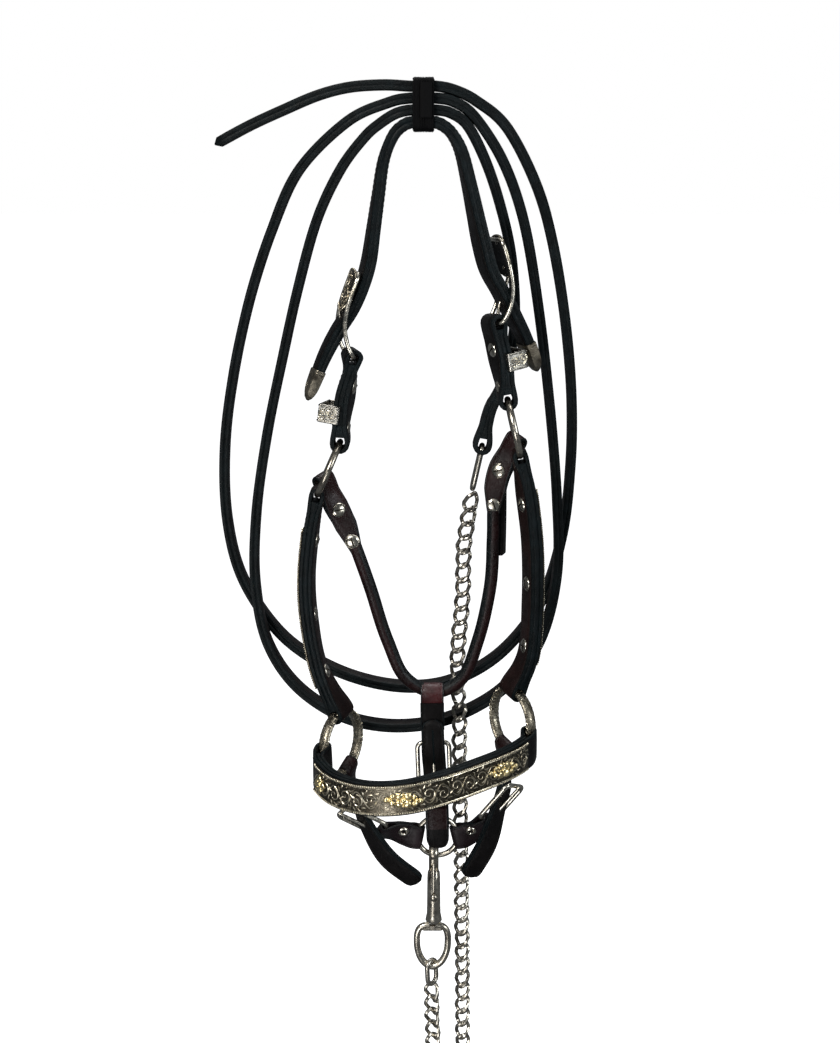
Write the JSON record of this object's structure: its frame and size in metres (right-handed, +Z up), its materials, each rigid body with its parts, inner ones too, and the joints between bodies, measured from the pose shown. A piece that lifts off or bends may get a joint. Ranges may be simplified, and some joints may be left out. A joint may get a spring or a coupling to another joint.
{
  "type": "western show halter with lead",
  "caption": "Leather show halter with silver-plated cheeks and noseband, buckled crown, jaw and chin straps, and a chain-ended lead looped over its crown.",
  "frame": {"origin": "the middle of the hook seat, under the tie at the top of the crown, where the halter hangs", "axes": "+Z up, the nose towards -Y, +X to the right as seen from the front"},
  "size_m": [0.2801, 0.1808, 0.8286],
  "materials": {
    "leather": "oiled, smooth",
    "brown_leather": "oiled, smooth",
    "silver": "engraved, antiqued",
    "gold": "polished",
    "nickel": "polished, worn",
    "tie": "matte"
  },
  "bodies": {
    "halter": {"chape_left": "leather", "chape_right": "leather", "chape_screw_left_1": "nickel", "chape_screw_left_2": "nickel", "chape_screw_right_1": "nickel", "chape_screw_right_2": "nickel", "cheek_left": "leather", "cheek_plate_left": "silver", "cheek_plate_right": "silver", "cheek_right": "leather", "cheek_screw_left_1": "nickel", "cheek_screw_left_2": "nickel", "cheek_screw_left_3": "nickel", "cheek_screw_right_1": "nickel", "cheek_screw_right_2": "nickel", "cheek_screw_right_3": "nickel", "chin_buckle_left": "nickel", "chin_buckle_right": "nickel", "chin_strap_left": "leather", "chin_strap_right": "leather", "chin_tab_left": "brown_leather", "chin_tab_right": "brown_leather", "crown_buckle_left": "silver", "crown_buckle_right": "silver", "crown_strap": "leather", "crown_tip_left": "silver", "crown_tip_right": "silver", "jaw_billet": "leather", "jaw_buckle": "nickel", "jaw_strap": "brown_leather", "keeper_left": "silver", "keeper_right": "silver", "lead_chain": "nickel", "lead_link": "nickel", "lead_strap": "leather", "lead_tie": "tie", "snap_swivel": "nickel", "throat_screw_left_1": "nickel", "throat_screw_left_2": "nickel", "throat_screw_right_1": "nickel", "throat_screw_right_2": "nickel", "throat_strap": "brown_leather"},
    "left_upper_ring": {"upper_ring_left": "nickel"},
    "right_upper_ring": {"upper_ring_right": "nickel"},
    "left_lower_ring": {"lower_ring_left": "silver"},
    "right_lower_ring": {"lower_ring_right": "silver"},
    "ring_at_chin": {"chin_ring": "nickel"},
    "left_crown_pin": {"crown_tongue_left": "nickel"},
    "right_crown_pin": {"crown_tongue_right": "nickel"},
    "jaw_pin": {"jaw_tongue": "nickel"},
    "left_chin_pin": {"chin_tongue_left": "nickel"},
    "right_chin_pin": {"chin_tongue_right": "nickel"},
    "nose": {"noseband": "leather", "noseband_plate": "silver", "rosette_left": "gold", "rosette_centre": "gold", "rosette_right": "gold"},
    "snap": {"snap_body": "nickel", "snap_spring": "nickel"},
    "bolt": {"snap_bolt": "nickel"}
  },
  "joints": [
    {"name": "upper_ring_left_spin", "type": "hinge", "parent": "halter", "child": "left_upper_ring", "pos_m": [-0.068, 0, -0.244], "axis": [0.9135, 0, -0.4067], "continuous": true},
    {"name": "upper_ring_right_spin", "type": "hinge", "parent": "halter", "child": "right_upper_ring", "pos_m": [0.0695, 0, -0.2135], "axis": [0.9744, 0, 0.225], "continuous": true},
    {"name": "lower_ring_left_spin", "type": "hinge", "parent": "halter", "child": "left_lower_ring", "pos_m": [-0.061, 0, -0.459], "axis": [0.866, -0.5, 0], "continuous": true},
    {"name": "lower_ring_right_spin", "type": "hinge", "parent": "halter", "child": "right_lower_ring", "pos_m": [0.071, 0, -0.441], "axis": [0.848, 0.5299, 0], "continuous": true},
    {"name": "chin_ring_spin", "type": "hinge", "parent": "halter", "child": "ring_at_chin", "pos_m": [0.014, 0.02, -0.545], "axis": [0, -1, 0], "continuous": true},
    {"name": "crown_tongue_left_turn", "type": "hinge", "parent": "halter", "child": "left_crown_pin", "pos_m": [-0.05, 0, -0.161], "axis": [0.2415, -0.9703, -0.0119], "range_deg": [0, 8]},
    {"name": "crown_tongue_right_turn", "type": "hinge", "parent": "halter", "child": "right_crown_pin", "pos_m": [0.054, 0, -0.136], "axis": [-0.3419, 0.9397, 0], "range_deg": [0, 8]},
    {"name": "jaw_tongue_turn", "type": "hinge", "parent": "halter", "child": "jaw_pin", "pos_m": [0.0103, 0.022, -0.467], "axis": [-0.9994, 0, -0.0333], "range_deg": [0, 8]},
    {"name": "chin_tongue_left_turn", "type": "hinge", "parent": "halter", "child": "left_chin_pin", "pos_m": [-0.03, 0.016, -0.538], "axis": [0.3873, -0.6762, 0.6267], "range_deg": [0, 8]},
    {"name": "chin_tongue_right_turn", "type": "hinge", "parent": "halter", "child": "right_chin_pin", "pos_m": [0.053, 0.016, -0.528], "axis": [0.5622, 0.7435, -0.3621], "range_deg": [0, 8]},
    {"name": "noseband_droop", "type": "hinge", "parent": "halter", "child": "nose", "pos_m": [0.00485, -0.01945, -0.4594], "axis": [0.9969, 0.016, 0.0768], "range_deg": [-6, 6]},
    {"name": "snap_turn", "type": "hinge", "parent": "halter", "child": "snap", "pos_m": [0.011, 0.02, -0.617], "axis": [0, 0, 1], "range_deg": [-20, 20]},
    {"name": "snap_bolt_slide", "type": "slide", "parent": "snap", "child": "bolt", "axis": [0, 0, -1], "range_m": [0, 0.007], "stiffness_N_per_m": 250, "springref_m": -0.004, "deforming": ["snap_spring"]}
  ]
}
